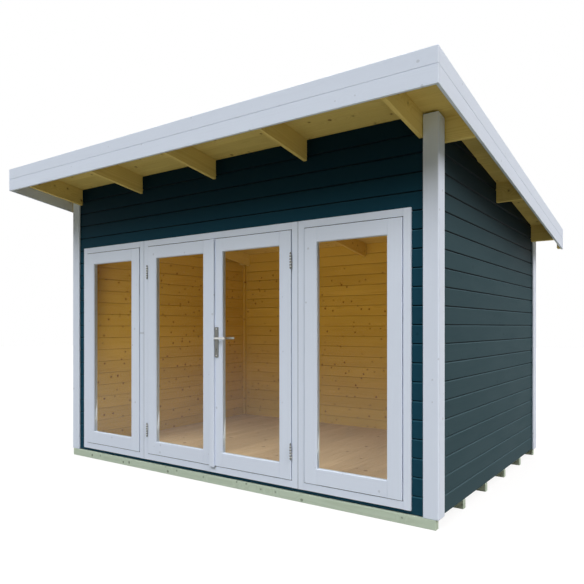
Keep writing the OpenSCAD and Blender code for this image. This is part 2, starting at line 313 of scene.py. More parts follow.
def smooth(piece, degrees):
    only(piece)
    bpy.ops.object.shade_smooth_by_angle(angle=math.radians(degrees))
    return piece


# ---- templates ----

def eased_bar(radius, segments=2):
    """A bar with rounded edges."""
    bar = cuboid("eased_bar", (-0.5, -0.5, -0.5), (0.5, 0.5, 0.5))
    edit(bar, "EDGE", everything)
    bpy.ops.mesh.bevel(offset=radius, segments=segments, affect="EDGES")
    done()
    return bar


def tight_bar(axis, radius=0.0025, joint=0.0003):
    """A member of a frame: rounded along its length, with crisp ends that meet tightly."""
    bar = cuboid("tight_bar", (-0.5, -0.5, -0.5), (0.5, 0.5, 0.5))
    edit(bar, "EDGE", running(axis))
    bpy.ops.mesh.bevel(offset=radius, segments=2, affect="EDGES")
    done()
    edit(bar, "EDGE", lambda edge: all(abs(vert.co[axis]) > 0.499 for vert in edge.verts))
    bpy.ops.mesh.bevel(offset=joint, segments=1, affect="EDGES")
    done()
    return bar


def log_board():
    """A wall board: chamfered long edges, wider outside, and a tongue on its top.

    Its inner side faces +Y and has the second material, the rest has the first."""
    half = WALL_T / 2
    board = cuboid("log_board", (-0.5, -half, 0), (0.5, half, BOARD - SEAM))
    middle = BOARD / 2
    along = running(ACROSS)
    for side, end, chamfer in CHAMFERS:
        edit(board, "EDGE", lambda edge: along(edge)
             and all(vert.co.y * side > half * 0.9 and (vert.co.z - middle) * end > middle * 0.9
                     for vert in edge.verts))
        bpy.ops.mesh.bevel(offset=chamfer, segments=1, affect="EDGES")
        done()
    edit(board, "FACE", facing(UP, 1))
    bpy.ops.mesh.extrude_region_move(TRANSFORM_OT_translate={"value": (0, 0, SEAM)})
    bpy.ops.transform.resize(value=(1, 0.5, 1), center_override=(0, 0, BOARD))
    done()
    second_material(board, lambda face: face.normal.y > 0.3)
    return board


def bead_ring():
    """A mitred frame of glazing beads whose front slopes in towards the glass at +Y."""
    ring = cuboid("bead_ring", (-0.5, 0, -0.5), (0.5, 0.018, 0.5))
    edit(ring, "FACE", lambda face: abs(face.normal.y) > 0.9)
    bpy.ops.mesh.inset(thickness=BEAD, depth=0)
    bpy.ops.mesh.delete(type="FACE")
    bpy.ops.mesh.select_mode(type="EDGE")
    bpy.ops.mesh.select_non_manifold()
    bpy.ops.mesh.bridge_edge_loops()
    done()
    inner = 0.5 - BEAD * 1.1
    edit(ring, "VERT", lambda vert: vert.co.y < 0.001
         and abs(vert.co.x) < inner + BEAD * 0.2 and abs(vert.co.z) < inner + BEAD * 0.2)
    bpy.ops.transform.translate(value=(0, BEAD * 0.8, 0))
    done()
    edit(ring, "FACE", everything)
    close_up()
    return ring


def turned(name, profile, sides):
    """A round piece along Z, drawn up ring by ring through (radius, height) points."""
    bpy.ops.object.select_all(action="DESELECT")
    radius, height = profile[0]
    bpy.ops.mesh.primitive_circle_add(vertices=sides, radius=radius, fill_type="NGON",
                                      location=(0, 0, height))
    piece = bpy.context.object
    piece.name = name
    bpy.ops.object.transform_apply(location=True, rotation=True, scale=True)
    edit(piece, "FACE", everything)
    for next_radius, next_height in profile[1:]:
        bpy.ops.mesh.extrude_region_move(
            TRANSFORM_OT_translate={"value": (0, 0, next_height - height)})
        scale = next_radius / radius
        bpy.ops.transform.resize(value=(scale, scale, 1),
                                 center_override=(0, 0, next_height))
        radius, height = next_radius, next_height
    close_up()
    return piece


def rounded_end(radius, height, steps=4):
    """Profile points of a dome that closes a round piece, with a tiny flat on its top."""
    return [(radius * math.cos(k * math.pi / 2 / steps) + 0.0002,
             height + radius * math.sin(k * math.pi / 2 / steps))
            for k in range(1, steps + 1)]


EASED = eased_bar(0.0025)
SOFT = eased_bar(0.006, 3)
POST = tight_bar(UP)
RAIL = tight_bar(ACROSS)
LOG = log_board()
BEADS = bead_ring()
FELT_BAR = eased_bar(0.0008, 1)
LUG = eased_bar(0.0012, 1)

# ---- materials ----


class Signal:
    """A socket in a finish, with arithmetic that adds Math nodes."""

    def __init__(self, finish, socket):
        self.finish = finish
        self.socket = socket

    def math(self, operation, *others, clamp=False):
        values = dict(enumerate((self,) + others))
        return self.finish.node("Math", {"operation": operation, "use_clamp": clamp}, values)

    def __add__(self, other):
        return self.math("ADD", other)

    def __sub__(self, other):
        return self.math("SUBTRACT", other)

    def __rsub__(self, other):
        return self.finish.node("Math", {"operation": "SUBTRACT"}, {0: other, 1: self})

    def __mul__(self, other):
        return self.math("MULTIPLY", other)

    def __pow__(self, other):
        return self.math("POWER", other)

    __radd__ = __add__
    __rmul__ = __mul__

    def below(self, edge, softness):
        """1 where the signal is under edge, falling to 0 within softness above it."""
        return self.finish.node("MapRange", {"interpolation_type": "SMOOTHSTEP"},
                                {"Value": self, "From Min": edge, "From Max": edge + softness,
                                 "To Min": 1.0, "To Max": 0.0})

    def scaled(self, factors):
        """A vector signal times a vector."""
        return self.finish.node("VectorMath", {"operation": "MULTIPLY"}, {0: self, 1: factors})

    def plus(self, other):
        return self.finish.node("VectorMath", {"operation": "ADD"}, {0: self, 1: other})

    def length(self):
        return self.finish.node("VectorMath", {"operation": "LENGTH"}, {0: self}, "Value")

    def axis(self, name):
        return self.finish.node("SeparateXYZ", None, {0: self}, name)

    def channel(self, name):
        return self.finish.node("SeparateColor", None, {0: self}, name)


class Finish:
    """A material that is built node by node."""

    def __init__(self, name):
        self.material = bpy.data.materials.new(name)
        self.material.use_nodes = True
        self.tree = self.material.node_tree
        self.tree.nodes.clear()

    def node(self, kind, settings=None, inputs=None, out=0):
        """Adds a node, sets it up, feeds its sockets and returns one of its outputs."""
        made = self.tree.nodes.new("ShaderNode" + kind)
        for key, value in (settings or {}).items():
            setattr(made, key, value)
        for key, value in (inputs or {}).items():
            socket = made.inputs[key]
            if isinstance(value, Signal):
                self.tree.links.new(value.socket, socket)
            else:
                socket.default_value = value
        return Signal(self, made.outputs[out]) if made.outputs else None

    def mix(self, factor, first, second):
        """Two colours mixed."""
        return self.node("Mix", {"data_type": "RGBA", "clamp_factor": True},
                         {0: factor, 6: colour(first), 7: colour(second)}, 2)

    def noise(self, place, scale, detail=3.0, roughness=0.5):
        return self.node("TexNoise", None, {"Vector": place, "Scale": scale,
                                            "Detail": detail, "Roughness": roughness})

    def attribute(self, name, out="Vector"):
        return self.node("Attribute", {"attribute_name": name}, None, out)

    def place(self):
        return self.node("TexCoord", None, None, "Object")

    def bump(self, height, distance, strength=1.0):
        return self.node("Bump", None,
                         {"Height": height, "Distance": distance, "Strength": strength})

    def surface(self, shader):
        self.node("OutputMaterial", None, {"Surface": shader})
        return self.material

    def principled(self, **sockets):
        named = {key.replace("_", " "): value for key, value in sockets.items()}
        return self.surface(self.node("BsdfPrincipled", None, named))


def colour(value):
    return value if isinstance(value, Signal) else (*value, 1.0)


def knots(finish, grain_place, size, share, spread):
    """A mask of knots, the distance to the nearest place for a knot, and whether that
    place has one. Spread is how many places there are in a metre."""
    flat = grain_place.scaled((1.0, 1.0, 0.0))
    wavy = flat.plus(finish.node("TexNoise", None, {"Vector": flat, "Scale": 30.0}, 1)
                     .scaled((0.010, 0.010, 0.0)))
    settings = {"voronoi_dimensions": "2D"}
    sockets = {"Vector": wavy, "Scale": spread}
    distance = finish.node("TexVoronoi", settings, sockets, "Distance")
    cell = finish.node("TexVoronoi", settings, sockets, "Color")
    reach = (cell.channel("Green") * 0.7 + 0.5) * size
    inside = (distance - reach).below(-0.012, 0.03)
    chosen = cell.channel("Red").below(share, 0.01)
    return inside * chosen, distance, chosen


def rings(finish, grain_place, near_knot, spacing):
    """Growth rings as shells round a pith beside the board, bent round its knots."""
    sway = finish.noise(grain_place.scaled((0.9, 7.0, 7.0)), 1.0, 2.0)
    radius = grain_place.scaled((0.0, 1.0, 1.0)).length()
    phase = (radius + (sway - 0.5) * 0.035 + near_knot * 0.012) * (math.tau / spacing)
    wave = phase.math("SINE") * 0.5 + 0.5
    return wave ** 3.0


def bare_wood(name, pale, dark, knot, rough=0.62, knot_size=0.085, knot_share=0.22,
              knot_spread=6.5, shine=0.14):
    """Planed timber without paint."""
    wood = Finish(name)
    place = wood.attribute("grain")
    tone = wood.attribute("tone", "Fac")
    mask, distance, chosen = knots(wood, place, knot_size, knot_share, knot_spread)
    near = (1.0 - distance.math("MULTIPLY", 2.2, clamp=True)) * chosen
    ring = rings(wood, place, near, 0.0065)
    fibre = wood.noise(place.scaled((6.0, 160.0, 160.0)), 1.0, 3.0, 0.6)
    cloud = wood.noise(place.scaled((1.3, 5.0, 5.0)), 1.0, 2.0)
    body = wood.mix(ring * 0.50 + fibre * 0.22, pale, dark)
    body = wood.mix((cloud - 0.32) * 0.9, body, [c * 0.80 for c in dark])
    body = wood.mix((tone - 0.5) * 0.34 + 0.12, body, [c * 0.86 for c in dark])
    halo = (distance - 0.10).below(-0.04, 0.10) * chosen
    body = wood.mix(halo * 0.45, body, [c * 0.72 for c in dark])
    body = wood.mix(mask * 0.85, body, knot)
    relief = ring * 0.6 + fibre * 0.5 - mask * 0.5
    return wood.principled(Base_Color=body, Roughness=rough + fibre * 0.12 - mask * 0.1,
                           Specular_IOR_Level=shine,
                           Normal=wood.bump(relief, 0.0006, 0.5))


def edge_dust_and_painted_light(wood, body, shade, ledge_dust_and_highlight):
    """Dusty edges with a painted highlight where they face up, painted shade on those that face
    down, and a darker colour over the top 0.8 m: painted shade for the deep shade under the eaves."""
    up = wood.node("NewGeometry", None, None, "Normal").axis("Z")
    # faces that look up turn lighter: dusty, and a painted highlight
    body = wood.mix(1.0 - up.below(0.45, 0.2), body, ledge_dust_and_highlight)
    # faces that look down turn darker: painted shade under each board's edge
    body = wood.mix(up.below(-0.6, 0.2), body, [c * 0.25 for c in shade])
    place = wood.place()
    # the top 0.8 m below the roof turns darker: painted shade of the eaves
    drop = soffit(FRONT) - (place.axis("Z") + (place.axis("Y") - FRONT) * ROOF_FALL)
    return wood.mix(drop.below(0.05, 0.75) * 0.8, body, [c * 0.12 for c in shade])


def painted_wood(name, paint, shade, rough, relief, knot_size, knot_share, knot_spread,
                 knot_show, shine, ledge_dust_and_highlight=None):
    """Opaque paint on timber: grain and knots show faintly through it. An upper-edge colour
    adds dusty edges with a painted highlight, and painted shade under the edges and the eaves."""
    wood = Finish(name)
    place = wood.attribute("grain")
    tone = wood.attribute("tone", "Fac")
    mask, distance, chosen = knots(wood, place, knot_size, knot_share, knot_spread)
    near = (1.0 - distance.math("MULTIPLY", 2.2, clamp=True)) * chosen
    ring = rings(wood, place, near, 0.0075)
    brush = wood.noise(place.scaled((5.0, 240.0, 240.0)), 1.0, 3.0, 0.6)
    cloud = wood.noise(place.scaled((2.2, 9.0, 9.0)), 1.0, 3.0)
    body = wood.mix(ring * 0.10 + brush * 0.14 + cloud * 0.30, paint, shade)
    body = wood.mix((tone - 0.5) * 0.30 + 0.1, body, shade)
    body = wood.mix(mask * knot_show, body, [c * 0.62 for c in shade])
    if ledge_dust_and_highlight:
        # upper edges dusty with a painted highlight, painted shade under lower edges and under the
        # eaves
        body = edge_dust_and_painted_light(wood, body, shade, ledge_dust_and_highlight)
    height = ring * 0.5 + brush * 0.7 + mask * 0.4
    return wood.principled(Base_Color=body, Roughness=rough + cloud * 0.12 + brush * 0.06,
                           Specular_IOR_Level=shine,
                           Normal=wood.bump(height, 0.0005, relief))


def brushed_steel(name, bright, dull, rough, metal):
    steel = Finish(name)
    place = steel.place()
    lines = steel.noise(place.scaled((900.0, 900.0, 60.0)), 1.0, 3.0, 0.6)
    smear = steel.noise(place, 45.0, 3.0)
    body = steel.mix(smear * 0.5 + lines * 0.2, bright, dull)
    return steel.principled(Base_Color=body, Metallic=metal,
                            Roughness=rough + smear * 0.16 + lines * 0.08,
                            Normal=steel.bump(lines, 0.0001, 0.25))


def clear_glass():
    glass = Finish("clear_glass")
    through = glass.node("BsdfTransparent", None, {"Color": (0.94, 0.965, 0.955, 1.0)})
    mirror = glass.node("BsdfGlossy", None, {"Color": (0.84, 0.98, 1.0, 1), "Roughness": 0.01})
    slant = glass.node("LayerWeight", None, {"Blend": 0.5}, "Facing")
    # the glass mirrors more towards its foot: a painted reflection
    painted_reflection = glass.place().axis("Z").below(0.25, 1.05)
    share = slant ** 5.0 * 0.5 + painted_reflection * 0.034 + 0.001
    return glass.surface(glass.node("MixShader", None, {0: share, 1: through, 2: mirror}))


def roofing_felt():
    felt = Finish("roofing_felt")
    place = felt.place()
    grit = felt.node("TexVoronoi", {"voronoi_dimensions": "3D"},
                     {"Vector": place, "Scale": 520.0}, "Color")
    speck = grit.channel("Red")
    patch = felt.noise(place, 3.0, 4.0)
    body = felt.mix(speck, (0.045, 0.047, 0.050), (0.115, 0.118, 0.12))
    body = felt.mix((patch - 0.35) * 0.8, body, (0.060, 0.060, 0.062))
    return felt.principled(Base_Color=body, Roughness=0.9,
                           Normal=felt.bump(speck + patch * 2.0, 0.0012, 0.6))


def rubbed_lock():
    lock = Finish("lock_metal")
    wear = lock.noise(lock.place(), 200.0, 3.0)
    body = lock.mix(wear, (0.030, 0.030, 0.030), (0.090, 0.086, 0.080))
    return lock.principled(Base_Color=body, Metallic=1.0, Roughness=0.35 + wear * 0.2)


# dark rubber for the shade seals; its darkness in the gaps is painted shade
def shade_seal_rubber():
    rubber = Finish("shade_seal_rubber")
    bloom = rubber.noise(rubber.place(), 90.0, 3.0)
    body = rubber.mix(bloom, (0.012, 0.013, 0.015), (0.030, 0.031, 0.034))
    return rubber.principled(Base_Color=body, Roughness=0.8,
                             Normal=rubber.bump(bloom, 0.0004, 0.5))


WHITE = painted_wood("white_paint", (0.735, 0.810, 0.965), (0.655, 0.718, 0.860), 0.42,
                     0.35, 0.060, 0.20, 8.0, 0.45, 0.06)
# its last colour is for the boards' upper edges: dusty, and a painted highlight
BLUE = painted_wood("blue_paint", (0.011, 0.056, 0.090), (0.007, 0.040, 0.066), 0.48,
                    0.55, 0.075, 0.25, 6.5, 0.35, 0.04, (0.024, 0.090, 0.130))
# the side walls' blue, lighter and greyer than the front's: a painted sheen of the light on the
# sides; its last colour is for upper board edges, dusty and with a painted highlight
SHEEN_BLUE = painted_wood("sheen_blue_paint", (0.034, 0.067, 0.081),
                              (0.025, 0.050, 0.062), 0.50, 0.55, 0.075, 0.25, 6.5, 0.35,
                              0.03, (0.058, 0.100, 0.120))
SPRUCE = bare_wood("raw_spruce", (0.88, 0.69, 0.245), (0.72, 0.52, 0.15), (0.34, 0.18, 0.05),
                   0.62, 0.075, 0.35, 7.5)
INSIDE = bare_wood("inside_spruce", (0.76, 0.505, 0.100), (0.60, 0.365, 0.052),
                   (0.24, 0.09, 0.012), 0.62, 0.075, 0.60, 8.5)
FLOOR_WOOD = bare_wood("floor_spruce", (0.73, 0.53, 0.345), (0.52, 0.345, 0.20),
                       (0.24, 0.12, 0.05))
TREATED = bare_wood("treated_pine", (0.60, 0.71, 0.60), (0.48, 0.57, 0.46), (0.20, 0.25, 0.19),
                    0.75, 0.085, 0.50, 9.0)
STEEL = brushed_steel("satin_steel", (0.22, 0.225, 0.21), (0.14, 0.142, 0.132), 0.30, 1.0)
BRIGHT_STEEL = brushed_steel("bright_steel", (0.74, 0.75, 0.75), (0.60, 0.61, 0.61), 0.22, 0.5)
LOCK = rubbed_lock()
GLASS = clear_glass()
SHADE_RUBBER = shade_seal_rubber()
FELT = roofing_felt()

# ---- base and floor ----


def make_beams():
    low, high = box("floor_beams")
    pitch = (high.y - low.y - BEAM) / (BEAMS - 1)
    beams = [grain(stretch(EASED, (low.x, low.y + i * pitch, low.z),
                           (high.x, low.y + i * pitch + BEAM, high.z)), ACROSS)
             for i in range(BEAMS)]
    gather("base_beams", beams, [TREATED], "house", ["floor_beams"])


def make_floor():
    low, high = box("floor_deck")
    count = round((high.x - low.x) / FLOOR_BOARD)
    pitch = (high.x - low.x) / count
    boards = [grain(stretch(EASED, (low.x + i * pitch, low.y, low.z),
                            (low.x + (i + 1) * pitch, high.y, high.z)), DEEP)
              for i in range(count)]
    gather("floor_boards", boards, [FLOOR_WOOD], "house", ["floor_deck"])


# ---- roof timbers, which the walls are notched for ----


def sloping_bar(low, high, template=EASED, axis=DEEP, name="bar"):
    """A bar drawn level at its front end and dropped along the roof."""
    bar = stretch(template, low, high, name)
    drop_to_roof(bar, low[1])
    return grain(bar, axis, sloping=True)


def make_rafters():
    made = []
    for i in range(1, 6):
        low, high = box(f"rafter_{i}")
        depth = high.z - low.z - (high.y - low.y) * ROOF_FALL
        top = soffit(low.y)
        bar = sloping_bar((low.x, low.y, top - depth), (high.x, high.y, top))
        made.append(gather(f"rafter_{i}_bar", [bar], [SPRUCE], "house",
                           [f"rafter_{i}"]))
    return made


def lookout_places():
    """Where the lookouts lie along the house: behind the front covers, half way, and at
    the back covers."""
    thick = box("rafter_1")[1].x - box("rafter_1")[0].x
    low, high = box("lookouts")
    middle = (low.y + high.y - thick) / 2
    return [(y, y + thick) for y in (low.y, middle, high.y - thick)]


def make_lookouts():
    inner, outer = box("rafter_5")[1].x, box("lookouts")[1].x
    bars = []
    for side in (-1, 1):
        for y0, y1 in lookout_places():
            x0, x1 = sorted((side * inner, side * outer))
            bars.append(sloping_bar((x0, y0, soffit(y0) - LOOKOUT_DEPTH), (x1, y1, soffit(y0)),
                                    axis=ACROSS))
    return bars


def make_roof_boards():
    low, high = ROOF_LOW, ROOF_HIGH
    count = round((high.y - low.y) / ROOF_BOARD)
    pitch = (high.y - low.y) / count
    boards = []
    for i in range(count):
        y = low.y + i * pitch
        boards.append(sloping_bar((low.x, y, soffit(y)),
                                  (high.x, y + pitch, soffit(y) + ROOF_BOARD_Z), axis=ACROSS))
    gather("soffit_boards", boards, [SPRUCE], "house", ["roof_boards"])


def make_felt():
    """Four lapped strips with their lower edges lying on the next one, and nails."""
    low, high = box("roof_felt")
    strips, nails, lap, thick = 4, 34, 0.09, 0.0022
    pitch = (high.y - low.y) / strips
    parts = []
    for i in range(strips):
        y0 = low.y + i * pitch
        y1 = min(y0 + pitch + (lap if i < strips - 1 else 0), high.y)
        bar = stretch(FELT_BAR, (low.x, y0, soffit(y0) + ROOF_BOARD_Z + 0.0002),
                      (high.x, y1, soffit(y0) + ROOF_BOARD_Z + 0.0002 + thick))
        co = points(bar)
        co[:, UP] += (co[:, DEEP] - y0) / (y1 - y0) * thick * 1.1
        put_points(bar, co)
        drop_to_roof(bar, y0)
        parts.append(bar)
    upstand = 0.020
    top = ROOF_BOARD_Z + 0.001
    y0, y1 = low.y, high.y
    parts.append(stretch(EASED, (low.x, y0, soffit(y0) + top),
                         (high.x, y0 + upstand, soffit(y0) + top + upstand)))
    for x0, x1 in ((low.x, low.x + upstand), (high.x - upstand, high.x)):
        bar = stretch(EASED, (x0, y0, soffit(y0) + top), (x1, y1, soffit(y0) + top + upstand))
        drop_to_roof(bar, y0)
        parts.append(bar)
    nail = turned("felt_nail", [(0.005, 0.0), (0.005, 0.0008), (0.003, 0.0018)], 8)
    for i in range(1, strips):
        y = low.y + i * pitch + lap * 0.75
        for k in range(nails):
            x = low.x + 0.06 + k * (high.x - low.x - 0.12) / (nails - 1)
            parts.append(moved(nail, "nail", Matrix.Translation(
                (x, y, soffit(y) + ROOF_BOARD_Z + thick * 2))))
    discard(nail)
    gather("felt_strips", parts, [FELT], "house", ["roof_felt"])


# ---- fascias ----


def make_fascias():
    low, high = box("front_fascia")
    seam_z = high.z - FASCIA_TOP
    boards = [grain(stretch(EASED, low, (high.x, high.y, seam_z - FASCIA_SEAM / 2)), ACROSS),
              grain(stretch(EASED, (low.x, low.y, seam_z + FASCIA_SEAM / 2), high), ACROSS)]
    gather("front_fascia_boards", boards, [WHITE], "house", ["front_fascia"])
    for side in ("left", "right"):
        low, high = box(f"{side}_fascia")
        top = high.z
        boards = [sloping_bar((low.x, low.y, top - FASCIA_DEPTH),
                              (high.x, high.y, top - FASCIA_TOP - FASCIA_SEAM / 2)),
                  sloping_bar((low.x, low.y, top - FASCIA_TOP + FASCIA_SEAM / 2),
                              (high.x, high.y, top))]
        gather(f"{side}_fascia_boards", boards, [WHITE], "house",
               [f"{side}_fascia"])
    low, high = box("rear_eave_board")
    depth = high.z - low.z - (high.y - low.y) * ROOF_FALL
    bar = sloping_bar((low.x, low.y, high.z - depth), (high.x, high.y, high.z), axis=ACROSS)
    gather("rear_eave_bar", [bar], [WHITE], "house", ["rear_eave_board"])
    low, high = box("eave_end_battens")
    depth = high.z - low.z - (high.y - low.y) * ROOF_FALL
    bars = [sloping_bar((x0, low.y, high.z - depth), (x1, high.y, high.z), axis=UP)
            for x0, x1 in ((low.x, low.x + BATTEN), (high.x - BATTEN, high.x))]
    gather("eave_end_bars", bars, [SPRUCE], "house", ["eave_end_battens"])


# ---- walls ----


def row_boards(template, low, high, axis, cutters):
    """The boards of one wall, one above the other from the base to the roof."""
    boards = []
    z = BASE_TOP
    while z < high.z - 0.004:
        board = stretch(template, (low.x, low.y, z), (high.x, high.y, z + BOARD))
        cut_out(board, cutters)
        trim_under_roof(board)
        boards.append(grain(board, axis))
        z += BOARD
    return boards


def make_walls(rafters, lookouts):
    frame_low = box("left_window_frame")[0]
    frame_high = box("right_window_frame")[1]
    glazing = cuboid("glazing", (frame_low.x, frame_low.y, frame_low.z),
                     (frame_high.x, frame_high.y, frame_high.z))
    low = Vector((-WALL_X, FRONT, BASE_TOP))
    high = Vector((WALL_X, FRONT + WALL_T, soffit(FRONT)))
    boards = row_boards(LOG, low, high, ACROSS, rafters + [glazing])
    gather("front_wall_boards", boards, [BLUE, INSIDE], "house",
           ["front_wall_left", "front_wall_right", "front_wall_header", "front_wall_sill"])
    discard(glazing)

    back = moved(LOG, "back_log", Matrix.Rotation(math.pi, 4, "Z"))
    boards = row_boards(back, WALL_LOW, WALL_HIGH, ACROSS, rafters)
    gather("back_wall_boards", boards, [BLUE, INSIDE], "house", ["back_wall"])
    discard(back)

    for side, turn in (("left", -90), ("right", 90)):
        log = moved(LOG, "side_log", Matrix.Rotation(math.radians(turn), 4, "Z"))
        low, high = box(f"{side}_wall")
        boards = row_boards(log, low, high, DEEP, lookouts)
        # the side walls take the lighter blue with its painted sheen
        gather(f"{side}_wall_boards", boards, [SHEEN_BLUE, INSIDE], "house",
               [f"{side}_wall"])
        discard(log)


def make_covers():
    """Each corner has two boards that meet at the corner, the front or back one over the
    side one's edge."""
    for end in ("front", "back"):
        for side in ("left", "right"):
            node = f"{end}_{side}_cover"
            low, high = box(node)
            out = -1 if side == "left" else 1
            x_edge = high.x if out > 0 else low.x
            face_x = sorted((x_edge, x_edge - out * (high.x - low.x)))
            side_x = sorted((x_edge, x_edge - out * COVER))
            if end == "front":
                face_y, side_y = (low.y, low.y + COVER), (low.y + COVER, high.y)
            else:
                face_y, side_y = (high.y - COVER, high.y), (low.y, high.y - COVER)
            parts = []
            for xs, ys in ((face_x, face_y), (side_x, side_y)):
                post = stretch(SOFT, (xs[0], ys[0], low.z), (xs[1], ys[1], high.z + SPARE))
                trim_under_roof(post, POST_GAP)
                parts.append(grain(post, UP))
            gather(f"{node}_boards", parts, [WHITE], "house", [node])


def make_corner_strips():
    low, high = box("inner_corner_strips")
    posts = []
    for x0 in (low.x, high.x - INNER_POST):
        for y0 in (low.y, high.y - INNER_POST):
            post = stretch(EASED, (x0, y0, low.z),
                           (x0 + INNER_POST, y0 + INNER_POST, high.z + SPARE))
            trim_under_roof(post, POST_GAP)
            posts.append(grain(post, UP))
    gather("inner_corner_posts", posts, [INSIDE], "house",
           ["inner_corner_strips"])


# ---- frames, sashes and leaves ----


def member_ring(low, high, left, right, top, bottom):
    """Two uprights with two rails between them, each with its own grain."""
    return [grain(stretch(POST, low, (low.x + left, high.y, high.z)), UP),
            grain(stretch(POST, (high.x - right, low.y, low.z), high), UP),
            grain(stretch(RAIL, (low.x + left, low.y, high.z - top),
                          (high.x - right, high.y, high.z)), ACROSS),
            grain(stretch(RAIL, (low.x + left, low.y, low.z),
                          (high.x - right, high.y, low.z + bottom)), ACROSS)]


def make_frame(node, stop_y):
    low, high = box(node)
    parts = member_ring(low, high, FRAME_FACE, FRAME_FACE, FRAME_FACE, FRAME_FACE)
    inner_low = Vector((low.x + FRAME_FACE, stop_y, low.z + FRAME_FACE))
    inner_high = Vector((high.x - FRAME_FACE, high.y, high.z - FRAME_FACE))
    parts += member_ring(inner_low, inner_high, STOP, STOP, STOP, STOP)
    gather(f"{node}_members", parts, [WHITE], "house", [node])


def make_leaf(node, glass_node, body):
    """Stiles and rails round a pane, with sloping beads on both faces of the glass."""
    low, high = box(node)
    glass_low, glass_high = box(glass_node)
    open_low = Vector((glass_low.x + GLASS_GROOVE, low.y, glass_low.z + GLASS_GROOVE))
    open_high = Vector((glass_high.x - GLASS_GROOVE, high.y, glass_high.z - GLASS_GROOVE))
    parts = member_ring(low, high, open_low.x - low.x, high.x - open_high.x,
                        high.z - open_high.z, open_low.z - low.z)
    front = stretch(BEADS, (open_low.x, glass_low.y - BEAD_DEPTH, open_low.z),
                    (open_high.x, glass_low.y, open_high.z))
    back = moved(BEADS, "back_beads", Matrix.Diagonal((1, -1, 1, 1)))
    behind = stretch(back, (open_low.x, glass_high.y, open_low.z),
                     (open_high.x, glass_high.y + BEAD_DEPTH, open_high.z))
    discard(back)
    parts += [grain(front, UP), grain(behind, UP)]
    gather(f"{node}_members", parts, [WHITE], body, [node])
    pane = frame["nodes"][glass_node]
    pane.data.materials.clear()
    pane.data.materials.append(GLASS)


def make_shade_seals():
    """Dark rubber in the joints between the three frames and above and below each leaf, as painted
    shade in these gaps.
    """
    strips = []
    lows, highs = zip(*(box(name) for name in ("left_window_frame", "door_frame",
                                               "right_window_frame")))
    y0 = lows[0].y + SHADE_SEAL_SET
    for left, right in zip(highs, lows[1:]):
        strips.append(cuboid("shade_seal_strip", (left.x, y0, right.z), (right.x, y0 + SHADE_SEAL_DEPTH, left.z)))
    for low, high in zip(lows, highs):
        foot, head = low.z + FRAME_FACE, high.z - FRAME_FACE
        x0, x1 = low.x + FRAME_FACE, high.x - FRAME_FACE
        for z0, z1 in ((foot, foot + SHADE_SEAL), (head - SHADE_SEAL, head)):
            strips.append(cuboid("shade_seal_strip", (x0, y0, z0), (x1, y0 + SHADE_SEAL_DEPTH, z1)))
    gather("frame_shade_seals", strips, [SHADE_RUBBER], "house")


def make_glazing():
    leaf_back = box("left_window_sash")[1].y
    for side in ("left", "right"):
        make_frame(f"{side}_window_frame", leaf_back)
        make_leaf(f"{side}_window_sash", f"{side}_window_glass", "house")
        make_leaf(f"{side}_door_leaf", f"{side}_door_glass", f"{side}_door")
    make_frame("door_frame", leaf_back + 0.005)
    low, high = box("meeting_strip")
    strip = grain(stretch(SOFT, low, high), UP)
    gather("meeting_strip_bar", [strip], [WHITE], "right_door",
           ["meeting_strip"])


# ---- hinges and handle ----


def hinge_half():
    """The upper half of a hinge: knuckle rings with grooves of the second material
    between them, a collar and a domed finial."""
    r, neck, ring, top = 0.007, 0.0050, 0.0036, HINGE_HALF
    profile = [(neck, 0.0005), (neck, ring), (r - 0.0004, ring + 0.0003), (r, ring + 0.0009)]
    for z in (top * 0.4, top * 0.8):
        profile += [(r, z - ring - 0.0006), (r - 0.0006, z - ring), (neck, z - ring),
                    (neck, z + ring), (r - 0.0006, z + ring), (r, z + ring + 0.0006)]
    profile += [(r, top - 0.001), (r - 0.001, top), (0.0045, top + 0.001),
                (0.0045, top + 0.0035), (0.005, top + 0.0042)]
    profile += rounded_end(0.005, top + 0.0050)
    half = turned("hinge_half", profile, 20)
    second_material(half, lambda face: all(vert.co.xy.length < neck + 0.0002
                                           and vert.co.z < top for vert in face.verts))
    return smooth(half, 40)


def make_hinges():
    half = hinge_half()
    upside = Matrix.Diagonal((1, 1, -1, 1))
    for side in ("left", "right"):
        pins_low = box(f"{side}_hinge_pins")[0]
        knuckles_high = box(f"{side}_hinge_knuckles")[1]
        x, y, _ = joint_place(f"{side}_door_hinge")
        heights = (pins_low.z + FINIAL + HINGE_HALF, knuckles_high.z - FINIAL - HINGE_HALF)
        inward = 1 if side == "left" else -1
        leaf_y = box(f"{side}_door_leaf")[0].y
        frame_y = box("door_frame")[0].y
        for kind, body, turn, out, back_y in (
                ("pins", "house", upside, -inward, frame_y),
                ("knuckles", f"{side}_door", Matrix.Identity(4), inward, leaf_y)):
            parts = []
            for z in heights:
                parts.append(moved(half, "half", Matrix.Translation((x, y, z)) @ turn))
                xs = sorted((x + out * 0.003, x + out * 0.009))
                for share in LEG_PLACES:
                    middle = z + HINGE_HALF * share * turn[2][2]
                    parts.append(stretch(LUG, (xs[0], y, middle - LEG_HALF),
                                         (xs[1], back_y, middle + LEG_HALF)))
            gather(f"{side}_hinge_{kind}_turned", parts, [STEEL, BRIGHT_STEEL], body,
                   [f"{side}_hinge_{kind}"])
    discard(half)


